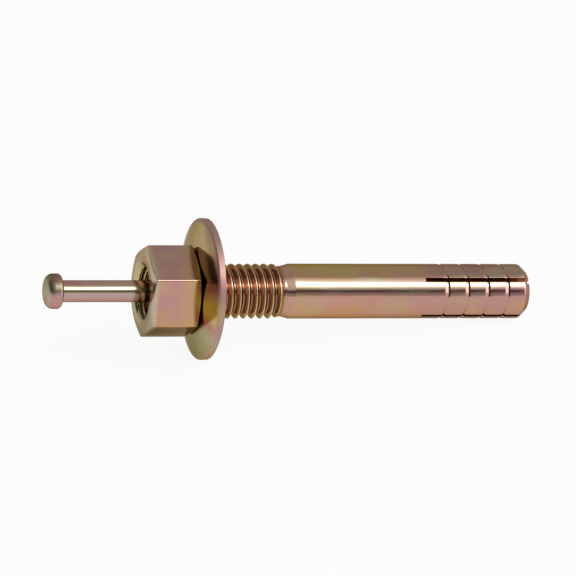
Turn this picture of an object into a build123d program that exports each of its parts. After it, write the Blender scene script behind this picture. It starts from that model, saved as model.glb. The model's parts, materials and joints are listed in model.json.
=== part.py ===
"""Strike anchor: a slotted expansion bolt, its hex nut, its washer and the pin that is hammered in.

All sizes are in millimetres. Each piece is modelled upright on its own axis, with z measured from the
threaded end of the bolt towards the slotted end. The four pieces are then laid down together as they
would rest on a table, on the washer's rim and the edge of the slotted end.
"""

from build123d import *

import os
from math import atan2, cos, radians, sin, tan

INCH = 25.4

# Stud of the bolt, turned to the crest diameter of its half inch coarse thread
thread_d = 12.64
thread_length = 27.3
stud_chamfer = 1.3

# Body of the bolt
body_length = 88.9
shank_d = 12.7
blank_d = 11.6
fade_length = 0.6
run_out_length = 1.8
neck_length = 1.95
end_chamfer_length = 1.6
end_face_d = 9.8

# Ring grooves round the expansion sleeve, each a ramp that ends at a steep wall facing the head
groove_count = 4
groove_pitch = 4.96
last_groove_from_end = 5.7
groove_depth = 0.3
groove_wall = 0.35
groove_ramp = 0.8

# Saw cuts that part the sleeve into legs
slot_cuts = 2
slot_width = 1.1
slot_length = 26.1
slot_angle = 133.5

# Drive pin, seated in the bolt's bore with its head standing out by the stroke
pin_d = 5.0
pin_head_d = 8.07
pin_head_length = 3.82
pin_head_dome = 0.38
pin_head_front_radius = 1.8
pin_head_back_radius = 1.0
pin_length = 85.7
pin_tip_length = 3.0
pin_tip_d = 3.6
pin_stroke = 22.9
bore_clearance = 0.1
bore_mouth_chamfer = 0.4

# Hexagon nut
nut_flats = 0.75 * INCH
nut_height = 11.3
nut_face_d = 17.6
nut_chamfer_angle = 18.0
nut_bearing_face_d = 19.0
nut_bearing_chamfer_angle = 10.0
nut_engaged_length = 7.4
nut_corner_angle = 145.5
nut_thread_clearance = 0.15
nut_mouth_d = 14.2

# Washer, stamped a little dished towards the nut, with its edge broken on the far side
washer_d = 32.4
washer_hole_d = 13.9
washer_thickness = 1.8
washer_dish = 2.23
washer_edge_break = 0.35
washer_gap = 0.1
washer_seat_clearance = 0.08

# Radii and places that follow from the sizes above
thread_r = thread_d / 2
shank_r = shank_d / 2
bore_r = pin_d / 2 + bore_clearance
neck_start = thread_length + run_out_length
neck_end = neck_start + neck_length
washer_start = nut_engaged_length + washer_gap
washer_end = washer_start + washer_dish + washer_thickness
washer_rise = washer_hole_d / 2 - max(shank_r, thread_r) - washer_seat_clearance
CUT_EXTRA = 1.0


def turned(*points):
    """A solid of revolution about the axis, from (radius, z) corners."""
    return revolve(Plane.XZ * Polygon(*points, align=None), Axis.Z)


def turned_bolt():
    """The bolt as it leaves the lathe: stud, run-out, neck, shank and the chamfered end."""
    return turned(
        (0, 0),
        (thread_r - stud_chamfer, 0),
        (thread_r, stud_chamfer),
        (thread_r, thread_length),
        (blank_d / 2, thread_length + fade_length),
        (blank_d / 2, neck_start),
        (shank_r, neck_end),
        (shank_r, body_length - end_chamfer_length),
        (end_face_d / 2, body_length),
        (0, body_length),
    )


def ring_groove(place):
    """The ring of metal taken out by one groove, which is deepest at this place."""
    outside = shank_r + CUT_EXTRA
    return turned(
        (shank_r, place - groove_ramp),
        (shank_r - groove_depth, place),
        (shank_r, place + groove_wall),
        (outside, place + groove_wall),
        (outside, place - groove_ramp),
    )


def bore():
    """The hole for the pin, which narrows to a seat where the driven pin's tip ends."""
    tip_hole_r = pin_tip_d / 2 + bore_clearance
    return turned(
        (0, -CUT_EXTRA),
        (bore_r + bore_mouth_chamfer + CUT_EXTRA, -CUT_EXTRA),
        (bore_r, bore_mouth_chamfer),
        (bore_r, pin_length - pin_tip_length),
        (tip_hole_r, pin_length),
        (tip_hole_r, body_length + CUT_EXTRA),
        (0, body_length + CUT_EXTRA),
    )


def saw_cut(angle):
    """One cut right across the sleeve, open at its end."""
    size = (2 * shank_d, slot_width, slot_length + CUT_EXTRA)
    blade = Pos(0, 0, body_length - slot_length) * Box(*size, align=(Align.CENTER, Align.CENTER, Align.MIN))
    return Rot(Z=angle) * blade


def make_anchor_body():
    """The bolt: stud, shank and slotted, grooved expansion sleeve, all one piece of steel."""
    body = turned_bolt()
    for index in range(groove_count):
        body -= ring_groove(body_length - last_groove_from_end - index * groove_pitch)
    body -= bore()
    for index in range(slot_cuts):
        body -= saw_cut(slot_angle + index * 180 / slot_cuts)
    return body


def make_drive_pin():
    """The pin, with a domed and rounded head and a tapered tip, standing out by its stroke."""
    underside = -pin_stroke
    crown = underside - pin_head_length
    rim = crown + pin_head_dome
    head_r = pin_head_d / 2
    outline = Polyline(
        (0, crown + pin_head_length + pin_length),
        (pin_tip_d / 2, underside + pin_length),
        (pin_d / 2, underside + pin_length - pin_tip_length),
        (pin_d / 2, underside),
        (head_r, underside),
        (head_r, rim),
    )
    dome_mid = crown + pin_head_dome / 4
    outline += ThreePointArc((head_r, rim), (head_r / 2, dome_mid), (0, crown))
    outline += Line((0, crown), (0, underside + pin_length))
    pin = revolve(Plane.XZ * make_face(outline), Axis.Z)
    edges = pin.edges().filter_by(GeomType.CIRCLE)
    head_edges = edges.filter_by(lambda edge: abs(edge.radius - head_r) < 1e-6).sort_by(Axis.Z)
    pin = fillet(head_edges[0], pin_head_front_radius)
    edges = pin.edges().filter_by(GeomType.CIRCLE)
    back_edges = edges.filter_by(lambda edge: abs(edge.radius - head_r) < 1e-6).sort_by(Axis.Z)
    return fillet(back_edges[-1], pin_head_back_radius)


def make_hex_nut():
    """The nut, chamfered on both faces, its bore open to the crests of the bolt's thread."""
    bottom = nut_engaged_length - nut_height
    corner_r = nut_flats / 2 / cos(radians(30))
    prism = Pos(0, 0, bottom) * extrude(RegularPolygon(corner_r, 6), nut_height)
    face_r = nut_face_d / 2
    bearing_r = nut_bearing_face_d / 2
    outside = corner_r + CUT_EXTRA
    chamfer = (outside - face_r) * tan(radians(nut_chamfer_angle))
    bearing_chamfer = (outside - bearing_r) * tan(radians(nut_bearing_chamfer_angle))
    trimmer = turned(
        (0, bottom),
        (face_r, bottom),
        (outside, bottom + chamfer),
        (outside, nut_engaged_length - bearing_chamfer),
        (bearing_r, nut_engaged_length),
        (0, nut_engaged_length),
    )
    hole_r = thread_r + nut_thread_clearance
    mouth = nut_mouth_d / 2 - hole_r
    hole = turned(
        (0, bottom),
        (nut_mouth_d / 2, bottom),
        (hole_r, bottom + mouth),
        (hole_r, nut_engaged_length - mouth),
        (nut_mouth_d / 2, nut_engaged_length),
        (0, nut_engaged_length),
    )
    return Rot(Z=nut_corner_angle) * ((prism & trimmer) - hole)


def make_dished_washer():
    """The washer, its two faces shallow cones that stand up to the nut round the hole.

    It rests with its hole on the bolt, so its centre is a little above the bolt's axis.
    """
    hole_r = washer_hole_d / 2
    rim_r = washer_d / 2
    broken_r = rim_r - washer_edge_break
    broken_fall = washer_dish * (broken_r - hole_r) / (rim_r - hole_r)
    washer = turned(
        (hole_r, 0),
        (rim_r, washer_dish),
        (rim_r, washer_dish + washer_thickness - washer_edge_break),
        (broken_r, broken_fall + washer_thickness),
        (hole_r, washer_thickness),
    )
    return Pos(0, washer_rise, washer_start) * washer


def lying_tilt():
    """The angle, in radians, that raises the head end when washer rim and sleeve edge touch the table."""
    along = body_length - end_chamfer_length - (washer_end - washer_edge_break)
    below = washer_d / 2 - washer_rise - shank_r
    return atan2(below, along)


def laid_down(pieces):
    """The pieces on the table, the sleeve end towards +X, centred over the origin."""
    tilt = lying_tilt()
    lying = Plane(origin=(0, 0, 0), x_dir=(0, 1, 0), z_dir=(cos(tilt), 0, -sin(tilt)))
    turned_over = {name: lying.location * piece for name, piece in pieces.items()}
    box = Compound(list(turned_over.values())).bounding_box()
    home = Pos(-box.center().X, -box.center().Y, -box.min.Z)
    return {name: home * piece for name, piece in turned_over.items()}


def main():
    os.makedirs("parts", exist_ok=True)
    pieces = {
        "anchor_body": make_anchor_body(),
        "drive_pin": make_drive_pin(),
        "hex_nut": make_hex_nut(),
        "dished_washer": make_dished_washer(),
    }
    for name, piece in laid_down(pieces).items():
        export_step(piece, f"parts/{name}.step")


main()
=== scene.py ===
"""Strike anchor in yellow zinc: a slotted expansion bolt with its hex nut, washer and hammer-in pin.

Every surface is worked out on a grid of two parameters in the anchor's own frame, in metres: z runs along
its axis from the threaded end of the bolt towards the slotted end, y points up as the anchor lies on the
table, and x completes the right-handed set. The grid's points are then laid down as the part lies.
"""

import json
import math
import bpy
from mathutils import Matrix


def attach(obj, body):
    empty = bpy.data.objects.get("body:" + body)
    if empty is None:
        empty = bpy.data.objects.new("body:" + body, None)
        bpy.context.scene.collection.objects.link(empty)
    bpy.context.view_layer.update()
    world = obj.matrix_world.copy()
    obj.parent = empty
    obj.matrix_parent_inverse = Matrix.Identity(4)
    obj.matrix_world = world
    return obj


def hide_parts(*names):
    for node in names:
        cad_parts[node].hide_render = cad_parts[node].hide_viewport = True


bl_info = {
    "name": "Strike anchor",
    "version": (1, 0, 0),
    "blender": (4, 5, 0),
    "location": "3D View > Sidebar > Anchor",
    "description": "Builds the bolt, pin, nut and washer of a strike anchor, and a plain studio",
    "category": "Add Mesh",
}

from typing import NamedTuple

import bpy
import numpy as np
from bpy.props import FloatProperty, FloatVectorProperty, IntProperty, PointerProperty
from mathutils import Matrix, Vector

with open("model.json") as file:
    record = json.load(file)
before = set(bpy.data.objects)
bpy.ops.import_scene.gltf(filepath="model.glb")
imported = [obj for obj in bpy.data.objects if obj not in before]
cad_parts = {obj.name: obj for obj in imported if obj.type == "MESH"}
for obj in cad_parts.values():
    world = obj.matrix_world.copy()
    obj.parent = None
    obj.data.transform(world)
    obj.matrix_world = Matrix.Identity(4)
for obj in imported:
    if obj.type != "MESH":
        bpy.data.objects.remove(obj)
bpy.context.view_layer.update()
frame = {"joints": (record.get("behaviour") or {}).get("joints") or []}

INCH = 0.0254
FULL_TURN = 2 * math.pi
SIXTH_OF_A_TURN = math.pi / 3
SHARP_ANGLE = math.radians(40)

# Place along the axis of the point that the nut's joint names: the middle of the nut
HINGE_PLACE = 0.00175
nut_joint = next(joint for joint in frame["joints"] if joint["name"] == "nut_turn")
AXIS = Vector(nut_joint["axis"]).normalized()
HINGE = Vector(nut_joint["pos_m"])

# How the anchor's own frame lies: its turn, and the middle of the stud's end face, which is its origin
LYING = Matrix(((0, 1, 0), (-AXIS.z, 0, AXIS.x), AXIS)).transposed()
STUD_END = HINGE - AXIS * HINGE_PLACE


# Sizes and colours that a user would change

def length(name, description, default):
    """A property for a length in metres."""
    return FloatProperty(
        name=name, description=description, default=default, subtype="DISTANCE", unit="LENGTH"
    )


def turn(name, description, degrees):
    """A property for an angle, kept in radians."""
    return FloatProperty(
        name=name, description=description, default=math.radians(degrees), subtype="ANGLE", unit="ROTATION"
    )


def colour(name, description, default):
    """A property for a linear colour."""
    return FloatVectorProperty(
        name=name, description=description, default=default, size=3, subtype="COLOR", min=0, max=1
    )


class BoltSizes(bpy.types.PropertyGroup):
    length: length("Length", "From the threaded end to the slotted end", 0.0889)
    shank_diameter: length("Shank diameter", "Across the plain shank and the sleeve", 0.0127)
    blank_diameter: length("Blank diameter", "Where the thread runs out", 0.0116)
    neck_start: length("Neck start", "Where the taper to the shank starts", 0.0291)
    neck_end: length("Neck end", "Where the taper to the shank ends", 0.03105)
    end_chamfer: length("End chamfer", "Length of the chamfer at the slotted end", 0.0016)
    end_face_diameter: length("End face diameter", "Across the flat at the slotted end", 0.0098)
    bore_diameter: length("Bore diameter", "Across the hole for the pin", 0.0052)
    tip_hole_diameter: length("Tip hole diameter", "Across the hole past the pin's tip", 0.0038)
    tip_cone_start: length("Tip cone start", "Where the bore starts to narrow", 0.0827)
    tip_cone_end: length("Tip cone end", "Where the bore is at its narrowest", 0.0857)
    slot_width: length("Slot width", "Across each saw cut", 0.0011)
    slot_length: length("Slot length", "Length of the saw cuts from the end", 0.0261)
    slot_angle: turn("Slot angle", "Direction of the first saw cut round the axis", 133.5)
    groove_count: IntProperty(name="Grooves", description="Ring grooves round the sleeve", default=4, min=0)
    groove_pitch: length("Groove pitch", "From one groove to the next", 0.00496)
    last_groove: length("Last groove", "From the slotted end to the last groove", 0.0057)
    groove_depth: length("Groove depth", "Depth at the foot of the steep wall", 0.0003)
    groove_wall: length("Groove wall", "Length of the steep wall", 0.00035)
    groove_ramp: length("Groove ramp", "Length of the ramp down to the steep wall", 0.0008)


class ThreadSizes(bpy.types.PropertyGroup):
    pitch: length("Pitch", "Advance in one turn of the coarse thread", INCH / 13)
    crest_diameter: length("Crest diameter", "Across the crests of the bolt's thread", 0.01264)
    root_diameter: length("Root diameter", "Across the roots of the bolt's thread", 0.0103)
    thread_end: length("Thread end", "Where the thread starts to fade into the blank", 0.0269)
    fade_end: length("Fade end", "Where the thread has gone", 0.029)
    stud_chamfer: length("Stud chamfer", "Chamfer at the threaded end", 0.0013)
    crest_place: length("Crest place", "Place of one crest along the axis, at the crest angle", 0.01736)
    crest_angle: turn("Crest angle", "Where round the axis that crest is at its place", 68)
    play: length("Play", "Radial room between the nut's thread and the bolt's", 0.00018)


class PinSizes(bpy.types.PropertyGroup):
    shank_diameter: length("Shank diameter", "Across the pin's shank", 0.005)
    head_diameter: length("Head diameter", "Across the pin's head", 0.00807)
    head_length: length("Head length", "From the underside of the head to its crown", 0.0038)
    head_dome: length("Head dome", "How far the crown stands above its rim", 0.00038)
    front_radius: length("Front radius", "Round the struck end of the head", 0.0018)
    back_radius: length("Back radius", "Round the underside of the head", 0.001)
    length: length("Length", "Under the head", 0.0857)
    tip_length: length("Tip length", "Length of the taper at the tip", 0.003)
    tip_diameter: length("Tip diameter", "Across the end of the tip", 0.0036)
    stroke: length("Stroke", "How far the head stands out of the bolt", 0.02292)


class NutSizes(bpy.types.PropertyGroup):
    flats: length("Across flats", "Wrench size", 0.75 * INCH)
    height: length("Height", "From face to face", 0.0113)
    bearing_face: length("Bearing face", "Place along the axis of the face towards the washer", 0.0074)
    outer_diameter: length("Outer face diameter", "Across the outer face, inside its chamfer", 0.0176)
    outer_chamfer: turn("Outer chamfer", "Slope of the chamfer round the outer face", 18)
    bearing_diameter: length("Bearing face diameter", "Across the bearing face, inside its chamfer", 0.019)
    bearing_chamfer: turn("Bearing chamfer", "Slope of the chamfer round the bearing face", 10)
    corner_angle: turn("Corner angle", "Direction of one corner round the axis", 145.5)
    corner_radius: length("Corner radius", "Round the ridges between the flats", 0.0006)
    edge_softness: length("Edge softness", "Width of the rounding where chamfer and flat meet", 0.00012)
    mouth_diameter: length("Mouth diameter", "Across the countersink of the thread", 0.0133)


class WasherSizes(bpy.types.PropertyGroup):
    diameter: length("Diameter", "Across the rim", 0.0324)
    hole_diameter: length("Hole diameter", "Across the hole", 0.0139)
    thickness: length("Thickness", "From face to face", 0.0018)
    dish: length("Dish", "How far the rim stands back from the edge of the hole", 0.00223)
    start: length("Start", "Place along the axis of the hole's edge, by the nut", 0.0075)
    rise: length("Rise", "How far its centre lies above the bolt's axis", 0.00052)
    rolled_edge: length("Rolled edge", "Rounding of the rim on the stamped side", 0.0003)
    cut_edge: length("Cut edge", "Break of the rim on the far side", 0.00035)


class ZincColours(bpy.types.PropertyGroup):
    olive: colour("Olive", "Olive film, on top of the pieces and under them", (0.53, 0.38, 0.14))
    # Moss is painted shade: dark film laid on the flat underneath the nut, where the floor below is in
    # shadow, and over the top of the pin's head, where it dims the highlight.
    moss_painted_shade: colour("Moss", "Dark dull green film", (0.13, 0.11, 0.065))
    straw: colour("Straw", "Yellow film", (0.6, 0.4, 0.15))
    tan: colour("Tan", "Tan film", (0.6, 0.32, 0.18))
    pink: colour("Pink", "Salmon pink film", (0.58, 0.31, 0.26))
    rose: colour("Rose", "Red brown film", (0.58, 0.25, 0.2))
    lilac: colour("Lilac", "Lilac film", (0.5, 0.28, 0.29))
    mauve: colour("Mauve", "Pale lilac film", (0.54, 0.35, 0.37))
    plum: colour("Plum", "Dark red brown film on top of the sleeve", (0.38, 0.22, 0.2))
    # On the flanks and roots of the bolt's thread the umber is painted shade, darker in the valleys;
    # elsewhere it is a red brown film colour.
    umber_and_painted_shade: colour("Umber", "Red brown film on the flanks of the thread", (0.34, 0.17, 0.12))
    # Cream is painted highlight: a bright colour laid on the crests of the bolt's thread, where the light
    # falls.
    cream_painted_highlight: colour("Cream", "Bright film on the crests of the thread", (0.75, 0.62, 0.36))
    sage: colour("Sage", "Pale film", (0.6, 0.54, 0.4))
    fern: colour("Fern", "Green film", (0.5, 0.49, 0.26))
    mustard: colour("Mustard", "Strong yellow film", (0.6, 0.52, 0.1))
    grazing: colour("Grazing tint", "Tint of reflections at a grazing angle", (0.5, 0.42, 0.32))


class StudioSettings(bpy.types.PropertyGroup):
    azimuth: turn("Azimuth", "Direction the picture is taken from, round the object", -16.8)
    elevation: turn("Elevation", "Angle of the camera above the horizon", 23)
    distance: length("Distance", "From the camera to the middle of the anchor", 0.9203)
    aim_place: length("Aim place", "Place along the anchor's axis that the camera is turned to", 0.03114)
    aim_rise: length("Aim rise", "How far above the axis the middle of the picture is", 0.00071)
    lens: FloatProperty(
        name="Lens", description="Focal length on a 36 mm sensor", default=250,
        subtype="DISTANCE_CAMERA", unit="CAMERA",
    )
    floor: colour("Floor", "Pale studio floor", (0.9, 0.9, 0.9))
    floor_size: length("Floor size", "Side of the floor", 40)
    ceiling: FloatProperty(
        name="Ceiling", description="Brightness of the brightest band overhead", default=5, min=0
    )


class AnchorSettings(bpy.types.PropertyGroup):
    bolt: PointerProperty(type=BoltSizes, name="Bolt", description="Sizes of the bolt")
    thread: PointerProperty(type=ThreadSizes, name="Thread", description="Sizes of the thread")
    pin: PointerProperty(type=PinSizes, name="Pin", description="Sizes of the pin")
    nut: PointerProperty(type=NutSizes, name="Nut", description="Sizes of the nut")
    washer: PointerProperty(type=WasherSizes, name="Washer", description="Sizes of the washer")
    zinc: PointerProperty(type=ZincColours, name="Zinc", description="Colours of the zinc film")
    studio: PointerProperty(type=StudioSettings, name="Studio", description="Camera, floor and light")


def settings():
    """The scene's own group of sizes and colours."""
    return bpy.context.scene.strike_anchor


# Grids and outlines

def laid_down(points):
    """Points of the anchor's own frame turned to lie on the table, then moved to their place there."""
    return points @ np.array(LYING).T + np.array(STUD_END)


def new_piece(name, points, faces, body, material, node):
    """Makes a piece of points in the anchor's frame and rows of corner numbers, and rides it on a body."""
    numbers = np.concatenate([group.ravel() for group in faces])
    used, renumbered = np.unique(numbers, return_inverse=True)
    corners = []
    start = 0
    for group in faces:
        corners += renumbered[start:start + group.size].reshape(-1, group.shape[-1]).tolist()
        start += group.size
    mesh = bpy.data.meshes.new(name)
    mesh.from_pydata(laid_down(points[used]), [], corners)
    mesh.polygons.foreach_set("use_smooth", np.ones(len(mesh.polygons), bool))
    mesh.set_sharp_from_angle(angle=SHARP_ANGLE)
    mesh.materials.append(material)
    piece = bpy.data.objects.new(name, mesh)
    bpy.context.scene.collection.objects.link(piece)
    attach(piece, body)
    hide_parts(node)


def band_faces(rows, columns, closed):
    """Quads from each row of a grid to the next, right round its columns.

    The last row is joined to the first where closed is set.
    """
    row = np.arange(rows if closed else rows - 1)[:, None]
    column = np.arange(columns)[None, :]
    next_row = (row + 1) % rows * columns
    next_column = (column + 1) % columns
    row = row * columns
    corners = (row + column, row + next_column, next_row + next_column, next_row + column)
    return np.stack(np.broadcast_arrays(*corners), axis=-1)


def all_round(values, columns):
    """Rows of a grid that each have one value in all their columns."""
    return np.repeat(np.array(values)[:, None], columns, axis=1)


def turned_points(radius, place, angle):
    """Points about the axis: x is radius times cos angle, y is radius times sin angle, z is the place."""
    radius, place, angle = np.broadcast_arrays(radius, place, angle)
    return np.stack((radius * np.cos(angle), radius * np.sin(angle), place), axis=-1)


def rounded_line(corners, steps):
    """A line of (radius, z) points through corners given as (radius, z, rounding), each turn made an arc.

    The arc's centre is on the corner's bisector, rounding / sin(half the corner's angle) away, and the arc
    runs between the points where it touches the two sides, rounding / tan(half) from the corner. A corner
    given as (radius, z) stays sharp.
    """
    line = [corners[0][:2]]
    for before, corner, after in zip(corners, corners[1:], corners[2:]):
        here = np.array(corner[:2])
        if len(corner) == 2:
            line.append(here)
            continue
        rounding = corner[2]
        back = np.array(before[:2]) - here
        ahead = np.array(after[:2]) - here
        back /= np.hypot(*back)
        ahead /= np.hypot(*ahead)
        half = math.acos(np.dot(back, ahead)) / 2
        bisector = (back + ahead) / np.hypot(*(back + ahead))
        centre = here + bisector * rounding / math.sin(half)
        first = here + back * rounding / math.tan(half) - centre
        side = -np.sign(back[0] * ahead[1] - back[1] * ahead[0])
        sweep = math.atan2(first[1], first[0]) + side * (math.pi - 2 * half) * np.linspace(0, 1, steps)
        line += list(centre + rounding * np.stack((np.cos(sweep), np.sin(sweep)), axis=-1))
    line.append(corners[-1][:2])
    return np.array(line, float)


def soft_max(one, other, blend):
    """The greater of two values, rounded over about the blend where they are close."""
    return (one + other + np.sqrt((one - other) ** 2 + blend ** 2)) / 2


def soft_min(one, other, blend):
    """The lesser of two values, rounded over about the blend where they are close."""
    return (one + other - np.sqrt((one - other) ** 2 + blend ** 2)) / 2


def smooth_step(value, start, end):
    """0 before start, 1 after end, and 3t^2 - 2t^3 between them."""
    part = np.clip((value - start) / (end - start), 0, 1)
    return part * part * (3 - 2 * part)


# The thread, which bolt and nut share

SIXTY_DEGREE_FLANK = math.sqrt(3)
THREAD_ROUNDING = 0.00008

# Share of the sharp thread's height that is cut off its crests
CREST_CUT = 1 / 8


def thread_radius(thread, place, angle, least, most, play=0.0):
    """Radius of a right-hand 60 degree thread.

    A crest's place moves on by one pitch for each turn of the angle. The radius falls from the sharp apex
    by root 3 times the distance along the axis from the nearest crest, and is held between the least and
    the most radius, with every change of slope rounded.
    """
    sharp_height = thread.pitch * SIXTY_DEGREE_FLANK / 2
    apex = thread.crest_diameter / 2 + sharp_height * CREST_CUT + play
    turns = (place - thread.crest_place) / thread.pitch - (angle - thread.crest_angle) / FULL_TURN
    away = np.abs(turns - np.round(turns)) * thread.pitch
    flank = apex - SIXTY_DEGREE_FLANK * np.hypot(away, THREAD_ROUNDING)
    return soft_max(least, soft_min(most, flank, THREAD_ROUNDING), THREAD_ROUNDING)


# The bolt

STUD_ROWS_A_PITCH = 30
LEGS = 4
LEG_COLUMNS = 38
CUT_COLUMNS = 3
BOLT_ARC_STEPS = 5

# Share of a leg's width at which a column stands beside each of its edges
BESIDE_EDGE = 0.012

# Roundings and breaks of the bolt's edges, in metres
NECK_FOOT_ROUNDING = 0.0005
NECK_TOP_ROUNDING = 0.0003
RAMP_ROUNDING = 0.0006
GROOVE_FOOT_ROUNDING = 0.00006
GROOVE_LIP_ROUNDING = 0.00012
END_CHAMFER_ROUNDING = 0.0006
END_FACE_ROUNDING = 0.0002
CUT_EDGE_BREAK = 0.00002
BORE_MOUTH = 0.0004

# How near an extra row stands to the ends of the plain shank, so that their shading doesn't run along it
EXTRA_ROW = 0.0002


class BoltColumns(NamedTuple):
    """The bolt's columns: what gives their angles, and which cross a saw cut or stand on its edge."""

    half_cut: float
    rest: np.ndarray
    spread: np.ndarray
    in_cut: np.ndarray
    on_edge: np.ndarray

    def angles(self, radius):
        """Angle of each column: rest + spread times arcsin(half the cut's width / radius)."""
        return self.rest + self.spread * np.arcsin(self.half_cut / radius)


def bolt_columns(bolt):
    """Columns that keep the walls of the cuts flat and parallel, and share out each leg between them.

    The spread runs from -1 to 1 across a cut and back to -1 across the leg beside it, and the rest grows by
    the leg's share of a quarter turn.
    """
    cut = np.arange(CUT_COLUMNS) / CUT_COLUMNS
    leg = np.concatenate(([0, BESIDE_EDGE], np.linspace(0, 1, LEG_COLUMNS)[1:-1], [1 - BESIDE_EDGE]))
    rest = np.concatenate((np.zeros(CUT_COLUMNS), leg * math.pi / 2))
    spread = np.concatenate((2 * cut - 1, 1 - 2 * leg))
    quarters = np.arange(LEGS)[:, None] * math.pi / 2 + bolt.slot_angle
    number = np.arange(len(rest))
    return BoltColumns(
        half_cut=bolt.slot_width / 2,
        rest=(rest + quarters).ravel(),
        spread=np.tile(spread, LEGS),
        in_cut=np.tile(number < CUT_COLUMNS, LEGS),
        on_edge=np.tile(np.isin(number, (0, CUT_COLUMNS)), LEGS),
    )


def bolt_line(bolt, thread):
    """The bolt's outline past its thread, as (radius, z) points, with the row where the saw cuts start."""
    shank = bolt.shank_diameter / 2
    slot_start = bolt.length - bolt.slot_length
    corners = [
        (bolt.blank_diameter / 2, thread.fade_end),
        (bolt.blank_diameter / 2, bolt.neck_start, NECK_FOOT_ROUNDING),
        (shank, bolt.neck_end, NECK_TOP_ROUNDING),
        (shank, bolt.neck_end + EXTRA_ROW),
        (shank, slot_start - EXTRA_ROW),
        (shank, slot_start),
    ]
    first = bolt.length - bolt.last_groove - (bolt.groove_count - 1) * bolt.groove_pitch
    for place in first + np.arange(bolt.groove_count) * bolt.groove_pitch:
        corners += [
            (shank, place - bolt.groove_ramp, RAMP_ROUNDING),
            (shank - bolt.groove_depth, place, GROOVE_FOOT_ROUNDING),
            (shank, place + bolt.groove_wall, GROOVE_LIP_ROUNDING),
        ]
    corners += [
        (shank, bolt.length - bolt.end_chamfer, END_CHAMFER_ROUNDING),
        (bolt.end_face_diameter / 2, bolt.length, END_FACE_ROUNDING),
        (bolt.tip_hole_diameter / 2, bolt.length),
    ]
    line = rounded_line(corners, BOLT_ARC_STEPS)
    start = int(np.argmin(np.abs(line[:, 1] - slot_start)))
    return line[:-1], start


def stud_grid(bolt, thread, columns):
    """Grid of the stud: the thread, cut back by a 45 degree chamfer at its end, and its run-out.

    Past the thread's end both of its limits fade to the blank's radius, and the fourth power of the fade
    draws in what is left.
    """
    blank = bolt.blank_diameter / 2
    rows = int(thread.fade_end / thread.pitch * STUD_ROWS_A_PITCH)
    place = np.linspace(0, thread.fade_end, rows)[:-1, None]
    angle = columns.angles(bolt.shank_diameter / 2)
    fade = smooth_step(place, thread.thread_end, thread.fade_end)
    crest = thread.crest_diameter / 2 + (blank - thread.crest_diameter / 2) * fade
    root = thread.root_diameter / 2 + (blank - thread.root_diameter / 2) * fade
    radius = thread_radius(thread, place, angle, root, crest)
    radius = radius + (blank - radius) * fade ** 4
    chamfer = thread.crest_diameter / 2 - thread.stud_chamfer + place
    return turned_points(soft_min(radius, chamfer, THREAD_ROUNDING), place, angle)


def body_grid(columns, line, start):
    """Grid of the outside past the thread: the turned outline, with the edges of the cuts broken."""
    radius = np.repeat(line[:, :1], len(columns.rest), axis=1)
    radius[start:, columns.on_edge] -= CUT_EDGE_BREAK
    return turned_points(radius, line[:, 1:], columns.angles(line[:, :1]))


def bore_grid(bolt, columns, places):
    """Grid of the bore at these places: its radius goes straight from mouth to wall, cone and tip hole."""
    wall = bolt.bore_diameter / 2
    known = (0, BORE_MOUTH, bolt.tip_cone_start, bolt.tip_cone_end)
    radii = (wall + BORE_MOUTH, wall, wall, bolt.tip_hole_diameter / 2)
    radius = np.interp(places, known, radii)[:, None]
    return turned_points(radius, places[:, None], columns.angles(radius))


def cut_faces(columns, first, last):
    """The two walls and the floor of each saw cut, from the first row that it cuts to the last.

    They are rows of the outside, and the row of the bore that lies under row r is 2 last + 1 - r.
    """
    count = len(columns.rest)
    outer = np.arange(first, last)[:, None] * count
    inner = (2 * last + 1 - np.arange(first, last))[:, None] * count
    before = np.flatnonzero(columns.on_edge & columns.in_cut)
    after = np.flatnonzero(columns.on_edge & ~columns.in_cut)
    near = (inner + before, inner - count + before, outer + count + before, outer + before)
    far = (outer + after, outer + count + after, inner - count + after, inner + after)
    floor_outer = first * count + np.flatnonzero(columns.in_cut)
    floor_inner = (2 * last + 1 - first) * count + np.flatnonzero(columns.in_cut)
    floor = (floor_inner, floor_outer, floor_outer + 1, floor_inner + 1)
    return [np.stack(corners, axis=-1) for corners in (near, far, floor)]


def bolt_surface(bolt, thread):
    """Points and faces of the bolt: one closed skin, open only over the saw cuts, and the cuts' own faces.

    The skin's rows go along the outside, through the slotted end, back up the bore and over the stud's face.
    """
    columns = bolt_columns(bolt)
    line, start = bolt_line(bolt, thread)
    bore_places = np.concatenate((line[:start - 1:-1, 1], (BORE_MOUTH, 0)))
    stud = stud_grid(bolt, thread, columns)
    grid = np.concatenate((stud, body_grid(columns, line, start), bore_grid(bolt, columns, bore_places)))
    skin = band_faces(len(grid), len(columns.rest), closed=True)
    first = len(stud) + start
    last = len(stud) + len(line) - 1
    opening = np.zeros(skin.shape[:2], bool)
    opening[first:2 * last + 1 - first, columns.in_cut] = True
    return grid.reshape(-1, 3), [skin[~opening], *cut_faces(columns, first, last)]


# The drive pin

PIN_COLUMNS = 128
PIN_ARC_STEPS = 14

# Shares of the head's radius at which the crown has a ring
CROWN_RINGS = (0.15, 0.3, 0.45)

# Roundings of the pin's edges, in metres
PIN_NECK_ROUNDING = 0.00015
TAPER_ROUNDING = 0.0004
TIP_ROUNDING = 0.0002


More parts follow.
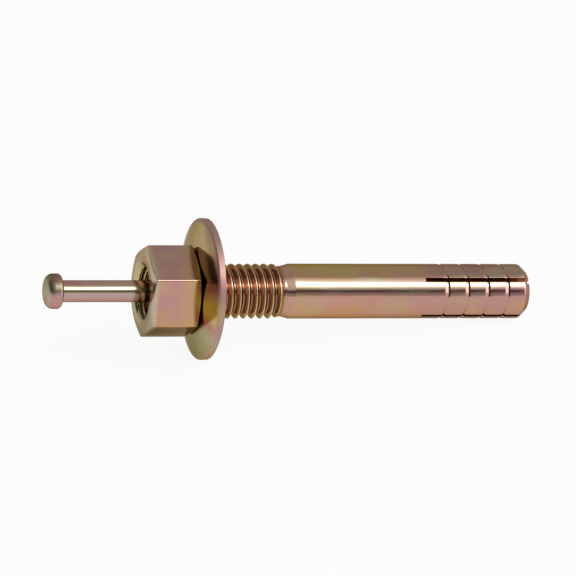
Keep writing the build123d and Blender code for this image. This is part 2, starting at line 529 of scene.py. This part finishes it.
def pin_surface(pin):
    """Points and faces of the pin: its outline turned about the axis, with a point at each end.

    The crown is a parabola that falls by the dome's height from the middle to the rim.
    """
    underside = -pin.stroke
    crown = underside - pin.head_length
    tip = underside + pin.length
    head = pin.head_diameter / 2
    shank = pin.shank_diameter / 2
    rings = np.array(CROWN_RINGS) * head
    corners = [(radius, crown + pin.head_dome * (radius / head) ** 2) for radius in rings] + [
        (head, crown + pin.head_dome, pin.front_radius),
        (head, underside, pin.back_radius),
        (shank, underside, PIN_NECK_ROUNDING),
        (shank, tip - pin.tip_length, TAPER_ROUNDING),
        (pin.tip_diameter / 2, tip, TIP_ROUNDING),
        (pin.tip_diameter / 4, tip),
    ]
    line = rounded_line(corners, PIN_ARC_STEPS)
    column = np.arange(PIN_COLUMNS)
    points = turned_points(line[:, :1], line[:, 1:], column * FULL_TURN / PIN_COLUMNS).reshape(-1, 3)
    ends = np.array(((0, 0, crown), (0, 0, tip)))
    skin = band_faces(len(line), PIN_COLUMNS, closed=False).reshape(-1, 4)
    beside = (column + 1) % PIN_COLUMNS
    last = (len(line) - 1) * PIN_COLUMNS
    crown_fan = np.stack((np.full(PIN_COLUMNS, len(points)), beside, column), axis=-1)
    tip_fan = np.stack((np.full(PIN_COLUMNS, len(points) + 1), last + column, last + beside), axis=-1)
    return np.concatenate((points, ends)), [skin, crown_fan, tip_fan]


# The hex nut

RIDGE_POINTS = 9
FLAT_POINTS = 18
EDGE_ROWS = 5
NUT_ROWS_A_PITCH = 24

# Shares of the nut's height at which its flats have a row
FLAT_ROWS = (0.35, 0.65)

# The mouth of the thread, in metres: its broken edge, how far inside the thread starts, and its rounding
MOUTH_EDGE_WIDTH = 0.0001
MOUTH_EDGE_FALL = 0.00008
MOUTH_MARGIN = 0.00012
MOUTH_ROUNDING = 0.00006

# How much further out the crests of the nut's thread are than the roots of the bolt's, in metres
NUT_CREST_ROOM = 0.0004


def nut_outline(nut):
    """The hexagon with rounded ridges, as one row of points x + iy.

    It is an arc about a corner's centre and the straight flat to the next arc, turned by each sixth.
    """
    half_side = SIXTH_OF_A_TURN / 2
    centre = (nut.flats / 2) / math.cos(half_side) - nut.corner_radius / math.cos(half_side)
    arc = centre + nut.corner_radius * np.exp(1j * np.linspace(-half_side, half_side, RIDGE_POINTS))
    next_arc = arc[0] * np.exp(1j * SIXTH_OF_A_TURN)
    flat = arc[-1] + (next_arc - arc[-1]) * np.linspace(0, 1, FLAT_POINTS)[1:-1]
    sixths = np.exp(1j * (nut.corner_angle + np.arange(6) * SIXTH_OF_A_TURN))
    return (sixths[:, None] * np.concatenate((arc, flat))).ravel()


def chamfered_face(radius, mouth, rim, angle, softness):
    """Radii and rises of the rows from the thread's mouth over one face of the nut to its flats.

    The edge between chamfer and flat rises with the distance from the axis past the face's rim, times the
    tangent of the chamfer angle, which gives the curved edges. The edge itself is a quadratic curve from a
    point on the chamfer to one on the flat.
    """
    slope = math.tan(angle)
    rise = (radius - rim) * slope
    softness = np.minimum(softness, rise)
    step = np.linspace(0, 1, EDGE_ROWS)[:, None]
    at_start = (1 - step) ** 2
    at_corner = 2 * step * (1 - step)
    at_end = step ** 2
    edge_radius = at_start * (radius - softness / slope / 2) + (at_corner + at_end) * radius
    edge_rise = at_start * (rise - softness / 2) + at_corner * rise + at_end * (rise + softness)
    ring_radius = all_round((mouth, mouth + MOUTH_EDGE_WIDTH, rim), len(radius))
    ring_rise = all_round((MOUTH_EDGE_FALL, 0, 0), len(radius))
    return np.concatenate((ring_radius, edge_radius)), np.concatenate((ring_rise, edge_rise))


def nut_outside(nut, outline):
    """Grid of the nut's outside, from the outer face over the flats to the bearing face.

    Each column keeps its direction from the axis, and the rows between give its radius and its place.
    """
    radius = np.abs(outline)
    direction = outline / radius
    mouth = nut.mouth_diameter / 2
    low = nut.bearing_face - nut.height
    outer_radius, outer_rise = chamfered_face(
        radius, mouth, nut.outer_diameter / 2, nut.outer_chamfer, nut.edge_softness
    )
    bearing_radius, bearing_rise = chamfered_face(
        radius, mouth, nut.bearing_diameter / 2, nut.bearing_chamfer, nut.edge_softness
    )
    flat_place = all_round(low + nut.height * np.array(FLAT_ROWS), len(outline))
    flat_radius = np.tile(radius, (len(FLAT_ROWS), 1))
    radii = np.concatenate((outer_radius, flat_radius, bearing_radius[::-1]))
    place = np.concatenate((low + outer_rise, flat_place, low + nut.height - bearing_rise[::-1]))
    return np.stack((direction.real * radii, direction.imag * radii, place), axis=-1)


def nut_hole(nut, thread, outline):
    """Grid of the nut's thread, from the bearing face back to the outer one.

    The radius is the thread's, or that of a 45 degree countersink at each mouth where this is greater.
    """
    low = nut.bearing_face - nut.height
    high = low + nut.height
    rows = int(nut.height / thread.pitch * NUT_ROWS_A_PITCH)
    place = np.linspace(high - MOUTH_MARGIN, low + MOUTH_MARGIN, rows)[:, None]
    angle = np.angle(outline)
    crest = thread.root_diameter / 2 + NUT_CREST_ROOM
    root = thread.crest_diameter / 2 + thread.play
    radius = thread_radius(thread, place, angle, crest, root, thread.play)
    countersink = nut.mouth_diameter / 2 - np.minimum(place - low, high - place)
    return turned_points(soft_max(radius, countersink, MOUTH_ROUNDING), place, angle)


def nut_surface(nut, thread):
    """Points and faces of the nut: one closed skin, over the outside and back through the thread."""
    outline = nut_outline(nut)
    grid = np.concatenate((nut_outside(nut, outline), nut_hole(nut, thread, outline)))
    return grid.reshape(-1, 3), [band_faces(len(grid), len(outline), closed=True).reshape(-1, 4)]


# The washer

WASHER_COLUMNS = 200
WASHER_RINGS = 28
WASHER_ARC_STEPS = 7

# Power of the share of the way from hole to rim by which the washer's faces fall away
DISH_POWER = 1.7

# Roundings of the washer's edges, in metres
STAMPED_HOLE_ROUNDING = 0.00025
FAR_HOLE_ROUNDING = 0.0001
RIM_ROUNDING = 0.0001
FAR_FACE_ROUNDING = 0.0002


def washer_surface(washer):
    """Points and faces of the washer: its closed section turned about its own centre.

    Both faces fall away from the edge of the hole by the dish times a power of the share of the way from
    hole to rim, so they are nearly flat where the nut bears. The centre is a little above the bolt's axis.
    """
    rim = washer.diameter / 2
    hole = washer.hole_diameter / 2
    radius = np.linspace(hole, rim - washer.cut_edge, WASHER_RINGS)
    near = washer.start + washer.dish * ((radius - hole) / (rim - hole)) ** DISH_POWER
    far = near + washer.thickness
    rim_start = washer.start + washer.dish
    middle_of_hole = (hole, near[0] + washer.thickness / 2)
    corners = [
        middle_of_hole,
        (hole, near[0], STAMPED_HOLE_ROUNDING),
        *zip(radius[1:-1], near[1:-1]),
        (rim, rim_start, washer.rolled_edge),
        (rim, rim_start + washer.thickness - washer.cut_edge, RIM_ROUNDING),
        (radius[-1], far[-1], FAR_FACE_ROUNDING),
        *zip(radius[-2:0:-1], far[-2:0:-1]),
        (hole, far[0], FAR_HOLE_ROUNDING),
        middle_of_hole,
    ]
    section = rounded_line(corners, WASHER_ARC_STEPS)[:-1]
    angle = np.arange(WASHER_COLUMNS) * FULL_TURN / WASHER_COLUMNS
    points = turned_points(section[:, :1], section[:, 1:], angle) + np.array((0, washer.rise, 0))
    return points.reshape(-1, 3), [band_faces(len(section), WASHER_COLUMNS, closed=True).reshape(-1, 4)]


# The yellow zinc

# Features of each noise in a metre
DRIFTS_A_METRE = 70
SPOTS_A_METRE = 120
CLOUDS_A_METRE = 230
GRAINS_A_METRE = 2600
WAVES_A_METRE = 260

# How far the film's colours drift round a piece, as a share of a turn
DRIFT = 0.1

# Scale along the axis of the noises that are drawn out that way
CLOUD_SCALE = 0.5
GRAIN_SCALE = 0.08

# Values of the grain between which the roughness goes from its least to its most, and these as its multiples
GRAIN_LIMITS = (0.3, 0.7)
ROUGHNESS_LIMITS = (0.8, 1.3)


class ZincFilm(NamedTuple):
    """The zinc film of one piece, with some painted highlight and painted shade among its stops and layers.

    The stops are (share of a turn round the axis, colour). Each layer over them is (colour, strength,
    limits), and the limits say for some coordinates where it has none of its strength and where it has all
    of it. The relief is the height of fine waves in metres. The rough part is (coordinate, where it starts,
    where it is full, how much rougher it is).
    """

    stops: list
    layers: list
    roughness: float
    relief: float
    rough_part: tuple = ()


BOLT_FILM = ZincFilm(
    stops=[
        (0.0, "tan"), (0.15, "olive"), (0.3, "olive"), (0.35, "tan"), (0.385, "sage"), (0.42, "sage"),
        (0.44, "pink"), (0.5, "pink"), (0.55, "tan"), (0.62, "tan"), (0.67, "olive"), (0.8, "lilac"),
        (1.0, "tan"),
    ],
    layers=[
        ("rose", 0.35, {"spots": (0.42, 0.66)}),
        ("olive", 0.45, {"spots": (0.54, 0.34)}),
        ("fern", 0.3, {"clouds": (0.45, 0.75)}),
        ("lilac", 0.5, {"place": (0.046, 0.07)}),
        ("plum", 0.6, {"place": (0.06, 0.07), "share": (0.36, 0.32)}),
        ("straw", 0.35, {"place": (0.062, 0.072), "clouds": (0.52, 0.42), "share": (0.46, 0.52)}),
        ("fern", 0.4, {"place": (0.066, 0.07), "share": (0.43, 0.41), "clouds": (0.4, 0.6)}),
        ("pink", 0.6, {"place": (0.0275, 0.0288), "clouds": (0.3, 0.6), "radius": (0.00632, 0.0062)}),
        # Painted shade: umber in the valleys of the thread, below the crests.
        ("umber_and_painted_shade", 0.9, {"place": (0.029, 0.0282), "radius": (0.0063, 0.0060)}),
        ("mustard", 0.4, {"place": (0.029, 0.0282), "radius": (0.0057, 0.0060), "share": (0.42, 0.46)}),
        # Painted highlight: cream on the crests of the thread.
        ("cream_painted_highlight", 0.4, {"place": (0.029, 0.0282), "radius": (0.00618, 0.0063)}),
        ("umber_and_painted_shade", 0.6, {"place": (0.0872, 0.0884)}),
    ],
    roughness=0.15,
    relief=0.00002,
)
PIN_FILM = ZincFilm(
    stops=[
        (0.0, "tan"), (0.15, "tan"), (0.3, "lilac"), (0.37, "tan"), (0.39, "sage"), (0.44, "sage"),
        (0.48, "mauve"), (0.6, "lilac"), (0.7, "tan"), (0.85, "olive"), (1.0, "tan"),
    ],
    layers=[
        ("sage", 0.35, {"spots": (0.4, 0.7), "share": (0.47, 0.44)}),
        ("olive", 0.3, {"clouds": (0.6, 0.3), "share": (0.47, 0.44)}),
        ("fern", 0.6, {"share": (0.425, 0.435), "place": (-0.024, -0.022)}),
        ("mauve", 0.6, {"share": (0.46, 0.475)}),
        ("rose", 0.45, {"share": (0.51, 0.57)}),
        # Painted shade: moss over the top of the head dims the highlight on it.
        ("moss_painted_shade", 0.7, {"place": (-0.0229, -0.0233), "share": (0.47, 0.44), "spots": (0.2, 0.45)}),
        ("pink", 0.5, {"place": (-0.0229, -0.0233), "share": (0.46, 0.49)}),
        ("sage", 0.7, {"place": (-0.0256, -0.0267)}),
        ("sage", 1.0, {"radius": (0.0022, 0.0006)}),
    ],
    roughness=0.15,
    relief=0.00001,
    rough_part=("place", -0.0229, -0.0236, 0.22),
)
NUT_FILM = ZincFilm(
    stops=[
        (0.0, "olive"), (0.15, "olive"), (0.2, "lilac"), (0.4, "pink"), (0.42, "pink"), (0.5, "pink"),
        # The moss from 0.58 to 0.7 of a turn is painted shade on the flat underneath the nut.
        (0.56, "tan"), (0.58, "moss_painted_shade"), (0.7, "moss_painted_shade"), (0.78, "lilac"), (1.0, "olive"),
    ],
    layers=[
        ("straw", 0.35, {"spots": (0.55, 0.35)}),
        ("lilac", 0.45, {"clouds": (0.45, 0.7)}),
        ("fern", 0.4, {"clouds": (0.5, 0.25)}),
        ("sage", 0.7, {"place": (-0.0024, -0.0032)}),
        ("straw", 0.5, {"place": (0.0015, 0.006)}),
        # Painted highlight: mustard inside the nut's thread stands in for golden glints in its mouth.
        ("mustard", 0.3, {"radius": (0.0068, 0.0064)}),
    ],
    roughness=0.18,
    relief=0.00001,
)
WASHER_FILM = ZincFilm(
    stops=[
        (0.0, "tan"), (0.1, "fern"), (0.28, "fern"), (0.35, "olive"), (0.4, "umber_and_painted_shade"), (0.43, "umber_and_painted_shade"),
        (0.46, "mustard"), (0.505, "mustard"), (0.53, "rose"), (0.57, "fern"), (0.72, "fern"),
        (0.8, "olive"), (1.0, "tan"),
    ],
    layers=[
        ("rose", 0.35, {"spots": (0.5, 0.65)}),
        ("sage", 0.35, {"clouds": (0.55, 0.3)}),
        ("lilac", 0.7, {"radius": (0.0155, 0.0161)}),
    ],
    roughness=0.15,
    relief=0.00001,
    rough_part=("radius", 0.0156, 0.0161, 0.3),
)


class NodeTree:
    """Adds shader nodes to a tree, giving each input a number, a colour or another node's socket."""

    def __init__(self, tree):
        self.tree = tree
        tree.nodes.clear()

    def add(self, kind, inputs, **options):
        """A node of this kind with its options, and with inputs by name or number."""
        node = self.tree.nodes.new(kind)
        for option, value in options.items():
            setattr(node, option, value)
        for key, value in inputs.items():
            if isinstance(value, bpy.types.NodeSocket):
                self.tree.links.new(value, node.inputs[key])
            else:
                node.inputs[key].default_value = value
        return node

    def work_out(self, operation, *values):
        """The result of a math node."""
        return self.add("ShaderNodeMath", dict(enumerate(values)), operation=operation).outputs[0]

    def span(self, value, low, high, to_low=0.0, to_high=1.0):
        """A value brought from between low and high to between two other limits, and held there."""
        inputs = {"Value": value, "From Min": low, "From Max": high, "To Min": to_low, "To Max": to_high}
        return self.add("ShaderNodeMapRange", inputs).outputs[0]

    def ramp(self, value, stops):
        """A colour ramp through stops of (place, colour)."""
        node = self.add("ShaderNodeValToRGB", {"Fac": value})
        elements = node.color_ramp.elements
        while len(elements) < len(stops):
            elements.new(0)
        for element, (place, tone) in zip(elements, stops):
            element.position = place
            element.color = (*tone, 1)
        return node.outputs["Color"]

    def mix(self, factor, one, other, blend="MIX"):
        """A mix of two colours, whose node has its factor as input 0 and the colours as inputs 6 and 7."""
        node = self.add("ShaderNodeMix", {0: factor, 6: one, 7: other}, data_type="RGBA", blend_type=blend)
        return node.outputs[2]

    def drawn_out(self, vector, scale):
        """Coordinates whose scale along the anchor's axis is changed."""
        return self.add("ShaderNodeMapping", {"Vector": vector, "Scale": (1, 1, scale)}).outputs["Vector"]

    def noise(self, vector, scale, detail):
        """Noise from 0 to 1, so many features a metre."""
        node = self.add("ShaderNodeTexNoise", {"Vector": vector, "Scale": scale, "Detail": detail})
        return node.outputs["Fac"]


def film_coordinates(nodes):
    """What the film may change with, as sockets by name.

    own is the point in the anchor's own frame, place its z, share its share of a turn round the axis and
    radius its distance from the axis. spots and clouds are noise.
    """
    point = nodes.add("ShaderNodeTexCoord", {}).outputs["Object"]
    inputs = {"Vector": point, "Location": STUD_END, "Rotation": LYING.to_euler()}
    own = nodes.add("ShaderNodeMapping", inputs, vector_type="TEXTURE").outputs["Vector"]
    parts = nodes.add("ShaderNodeSeparateXYZ", {"Vector": own}).outputs
    angle = nodes.work_out("ARCTAN2", parts["Y"], parts["X"])
    across = nodes.add("ShaderNodeVectorMath", {0: own, 1: (1, 1, 0)}, operation="MULTIPLY").outputs[0]
    return {
        "own": own,
        "place": parts["Z"],
        "share": nodes.work_out("FRACT", nodes.work_out("DIVIDE", angle, FULL_TURN)),
        "radius": nodes.add("ShaderNodeVectorMath", {0: across}, operation="LENGTH").outputs["Value"],
        "spots": nodes.noise(own, SPOTS_A_METRE, detail=1),
        "clouds": nodes.noise(nodes.drawn_out(own, CLOUD_SCALE), CLOUDS_A_METRE, detail=1),
    }


def shade(name):
    """One of the zinc film's colours, as a tuple."""
    return tuple(getattr(settings().zinc, name))


def film_colour(nodes, film, coordinates):
    """Colour of a film: its stops round the piece, which drift with noise, under its layers."""
    drift = nodes.noise(coordinates["own"], DRIFTS_A_METRE, detail=2)
    drift = nodes.work_out("MULTIPLY", nodes.work_out("SUBTRACT", drift, 0.5), DRIFT)
    share = nodes.work_out("ADD", coordinates["share"], drift)
    tint = nodes.ramp(share, [(stop, shade(tone)) for stop, tone in film.stops])
    for tone, strength, limits in film.layers:
        factor = strength
        for name, (none_at, full_at) in limits.items():
            factor = nodes.work_out("MULTIPLY", nodes.span(coordinates[name], none_at, full_at), factor)
        tint = nodes.mix(factor, tint, (*shade(tone), 1))
    return tint


def film_roughness(nodes, film, coordinates, fine):
    """Roughness of a film: its own, changed a little by the grain, and more in its rough part."""
    least, most = (film.roughness * limit for limit in ROUGHNESS_LIMITS)
    grain = nodes.noise(fine, GRAINS_A_METRE, detail=4)
    rough = nodes.span(grain, *GRAIN_LIMITS, least, most)
    if film.rough_part:
        name, smooth_at, rough_at, amount = film.rough_part
        rougher = nodes.span(coordinates[name], smooth_at, rough_at, 0.0, amount)
        rough = nodes.work_out("ADD", rough, rougher)
    return rough


def zinc_material(name, film):
    """Polished steel under an iridescent film of yellow zinc."""
    material = bpy.data.materials.new(name)
    material.use_nodes = True
    nodes = NodeTree(material.node_tree)
    coordinates = film_coordinates(nodes)
    fine = nodes.drawn_out(coordinates["own"], GRAIN_SCALE)
    waves = nodes.noise(fine, WAVES_A_METRE, detail=1)
    relief = nodes.add("ShaderNodeBump", {"Height": waves, "Strength": 1.0, "Distance": film.relief})
    metal = nodes.add(
        "ShaderNodeBsdfPrincipled",
        {
            "Base Color": film_colour(nodes, film, coordinates),
            "Metallic": 1.0,
            "Roughness": film_roughness(nodes, film, coordinates, fine),
            "Specular Tint": (*shade("grazing"), 1),
            "Normal": relief.outputs["Normal"],
        },
    )
    nodes.add("ShaderNodeOutputMaterial", {"Surface": metal.outputs["BSDF"]})
    return material


# The studio

WHITE = (1, 1, 1, 1)

# How much of the floor's look is plain white, for the camera and in reflections
WHITE_TO_CAMERA = 0.92
WHITE_IN_REFLECTIONS = 0.55

# The light overhead, as (share of the half turn from the near horizon over the top to the far one, share of
# the ceiling's brightness)
CEILING_BANDS = [
    (0.0, 0.08), (0.07, 0.072), (0.085, 0.008), (0.12, 0.008), (0.15, 0.07), (0.19, 0.2), (0.235, 0.5),
    (0.245, 1.0), (0.305, 1.0), (0.32, 0.4), (0.35, 0.24), (0.41, 0.16), (0.45, 0.088), (0.6, 0.092),
    (0.85, 0.104), (1.0, 0.11),
]

# The most of it that each side has, as (share of the way from left to right, share of the brightness), and
# the shares of the half turn between which this limit sets in
SIDE_LIMITS = [
    (0.0, 0.08), (0.03, 0.01), (0.2, 0.01), (0.25, 0.12), (0.52, 0.16), (0.6, 1.0), (1.0, 1.0),
]
SIDES_SET_IN = (0.9, 0.75)

# The window at the right front: its share of the ceiling's brightness, how far to the right it starts and is
# full, and the shares of the half turn between which it sets in
WINDOW = 0.4
WINDOW_FROM_RIGHT = (0.5, 0.64)
WINDOW_FROM_TOP = (0.6, 0.5)

# The camera's sensor in millimetres, and its clipping distances in metres
SENSOR_WIDTH = 36
NEAREST = 0.01
FURTHEST = 100


def make_floor(studio):
    """A pale floor that is nearly white to the camera and in reflections, and keeps the anchor's shadow."""
    half = studio.floor_size / 2
    mesh = bpy.data.meshes.new("floor")
    corners = [(-half, -half, 0), (half, -half, 0), (half, half, 0), (-half, half, 0)]
    mesh.from_pydata(corners, [], [(0, 1, 2, 3)])
    floor = bpy.data.objects.new("floor", mesh)
    bpy.context.scene.collection.objects.link(floor)
    material = bpy.data.materials.new("studio floor")
    material.use_nodes = True
    nodes = NodeTree(material.node_tree)
    rays = nodes.add("ShaderNodeLightPath", {}).outputs
    reflected = nodes.work_out("MAXIMUM", rays["Is Glossy Ray"], rays["Is Transmission Ray"])
    matt = nodes.add("ShaderNodeBsdfDiffuse", {"Color": (*studio.floor, 1)})
    glow = nodes.add("ShaderNodeEmission", {"Color": WHITE, "Strength": 1.0})
    to_camera = nodes.work_out("MULTIPLY", rays["Is Camera Ray"], WHITE_TO_CAMERA)
    to_reflected = nodes.work_out("MULTIPLY", reflected, WHITE_IN_REFLECTIONS)
    share = nodes.work_out("MAXIMUM", to_camera, to_reflected)
    surface = nodes.add("ShaderNodeMixShader", {0: share, 1: matt.outputs[0], 2: glow.outputs[0]})
    nodes.add("ShaderNodeOutputMaterial", {"Surface": surface.outputs[0]})
    mesh.materials.append(material)


def ceiling_light(nodes):
    """The light round the anchor: bands overhead, held down at the left, and a window at the right front."""
    direction = nodes.add("ShaderNodeTexCoord", {}).outputs["Generated"]
    parts = nodes.add("ShaderNodeSeparateXYZ", {"Vector": direction}).outputs
    forward = nodes.work_out("MULTIPLY", parts["Y"], -1.0)
    overhead = nodes.work_out("DIVIDE", nodes.work_out("ARCTAN2", parts["Z"], forward), math.pi)
    bands = nodes.ramp(overhead, [(place, (level,) * 3) for place, level in CEILING_BANDS])
    sideways = nodes.span(parts["X"], -1.0, 1.0)
    most = nodes.ramp(sideways, [(place, (level,) * 3) for place, level in SIDE_LIMITS])
    held_down = nodes.mix(nodes.span(overhead, *SIDES_SET_IN), bands, most, "DARKEN")
    window = nodes.span(parts["X"], *WINDOW_FROM_RIGHT, 0.0, WINDOW)
    window = nodes.work_out("MULTIPLY", window, nodes.span(overhead, *WINDOW_FROM_TOP))
    grey = nodes.add("ShaderNodeCombineColor", {0: window, 1: window, 2: window}).outputs[0]
    return nodes.mix(1.0, held_down, grey, "LIGHTEN")


def make_world(studio):
    """The studio round the anchor: plain white to the camera, and the ceiling's light on the anchor."""
    world = bpy.data.worlds.new("studio")
    bpy.context.scene.world = world
    world.use_nodes = True
    nodes = NodeTree(world.node_tree)
    rays = nodes.add("ShaderNodeLightPath", {}).outputs
    light = nodes.add("ShaderNodeBackground", {"Color": ceiling_light(nodes), "Strength": studio.ceiling})
    white = nodes.add("ShaderNodeBackground", {"Color": WHITE, "Strength": 1.0})
    surface = nodes.add(
        "ShaderNodeMixShader", {0: rays["Is Camera Ray"], 1: light.outputs[0], 2: white.outputs[0]}
    )
    nodes.add("ShaderNodeOutputWorld", {"Surface": surface.outputs[0]})


def make_camera(studio):
    """The camera at the picture's angle, turned to a point just above the anchor's axis."""
    data = bpy.data.cameras.new("camera")
    data.lens = studio.lens
    data.sensor_width = SENSOR_WIDTH
    data.clip_start = NEAREST
    data.clip_end = FURTHEST
    camera = bpy.data.objects.new("camera", data)
    bpy.context.scene.collection.objects.link(camera)
    bpy.context.scene.camera = camera
    level = math.cos(studio.elevation)
    back = Vector((
        math.sin(studio.azimuth) * level, -math.cos(studio.azimuth) * level, math.sin(studio.elevation)
    ))
    facing = back.to_track_quat("Z", "Y")
    aim = STUD_END + AXIS * studio.aim_place + facing @ Vector((0, studio.aim_rise, 0))
    camera.rotation_mode = "QUATERNION"
    camera.rotation_quaternion = facing
    camera.location = aim + back * studio.distance


# The add-on

class BuildBolt(bpy.types.Operator):
    """Builds the slotted bolt with its thread, grooves and saw cuts"""

    bl_idname = "anchor.build_bolt"
    bl_label = "Bolt"

    def execute(self, context):
        sizes = settings()
        material = zinc_material("bolt yellow zinc", BOLT_FILM)
        points, faces = bolt_surface(sizes.bolt, sizes.thread)
        new_piece("bolt", points, faces, "anchor", material, "anchor_body")
        return {"FINISHED"}


class BuildPin(bpy.types.Operator):
    """Builds the pin that is hammered in, with its domed head"""

    bl_idname = "anchor.build_pin"
    bl_label = "Drive pin"

    def execute(self, context):
        material = zinc_material("pin yellow zinc", PIN_FILM)
        points, faces = pin_surface(settings().pin)
        new_piece("pin", points, faces, "pin", material, "drive_pin")
        return {"FINISHED"}


class BuildNut(bpy.types.Operator):
    """Builds the hex nut with its chamfered faces and its thread"""

    bl_idname = "anchor.build_nut"
    bl_label = "Hex nut"

    def execute(self, context):
        sizes = settings()
        material = zinc_material("nut yellow zinc", NUT_FILM)
        points, faces = nut_surface(sizes.nut, sizes.thread)
        new_piece("nut", points, faces, "nut", material, "hex_nut")
        return {"FINISHED"}


class BuildWasher(bpy.types.Operator):
    """Builds the washer, which is a little dished"""

    bl_idname = "anchor.build_washer"
    bl_label = "Washer"

    def execute(self, context):
        material = zinc_material("washer yellow zinc", WASHER_FILM)
        points, faces = washer_surface(settings().washer)
        new_piece("washer", points, faces, "washer", material, "dished_washer")
        return {"FINISHED"}


class BuildStudio(bpy.types.Operator):
    """Sets up the floor, the light and the camera"""

    bl_idname = "anchor.build_studio"
    bl_label = "Studio"

    def execute(self, context):
        studio = settings().studio
        make_floor(studio)
        make_world(studio)
        make_camera(studio)
        context.scene.view_settings.view_transform = "Standard"
        return {"FINISHED"}


class AnchorPanel(bpy.types.Panel):
    """Lists the anchor's pieces and sizes"""

    bl_idname = "VIEW3D_PT_strike_anchor"
    bl_label = "Strike anchor"
    bl_space_type = "VIEW_3D"
    bl_region_type = "UI"
    bl_category = "Anchor"

    def draw(self, context):
        layout = self.layout
        for operator in STEPS:
            layout.operator(operator.bl_idname)
        for group in AnchorSettings.__annotations__:
            sizes = getattr(context.scene.strike_anchor, group)
            box = layout.box()
            box.label(text=group.capitalize())
            for name in sizes.__annotations__:
                box.prop(sizes, name)


GROUPS = (
    BoltSizes, ThreadSizes, PinSizes, NutSizes, WasherSizes, ZincColours, StudioSettings, AnchorSettings,
)
STEPS = (BuildBolt, BuildPin, BuildNut, BuildWasher, BuildStudio)


def register():
    for part in (*GROUPS, *STEPS, AnchorPanel):
        bpy.utils.register_class(part)
    bpy.types.Scene.strike_anchor = PointerProperty(type=AnchorSettings)


def unregister():
    del bpy.types.Scene.strike_anchor
    for part in reversed((*GROUPS, *STEPS, AnchorPanel)):
        bpy.utils.unregister_class(part)


def main():
    register()
    bpy.ops.anchor.build_bolt()
    bpy.ops.anchor.build_pin()
    bpy.ops.anchor.build_nut()
    bpy.ops.anchor.build_washer()
    bpy.ops.anchor.build_studio()


if __name__ == "__main__":
    main()
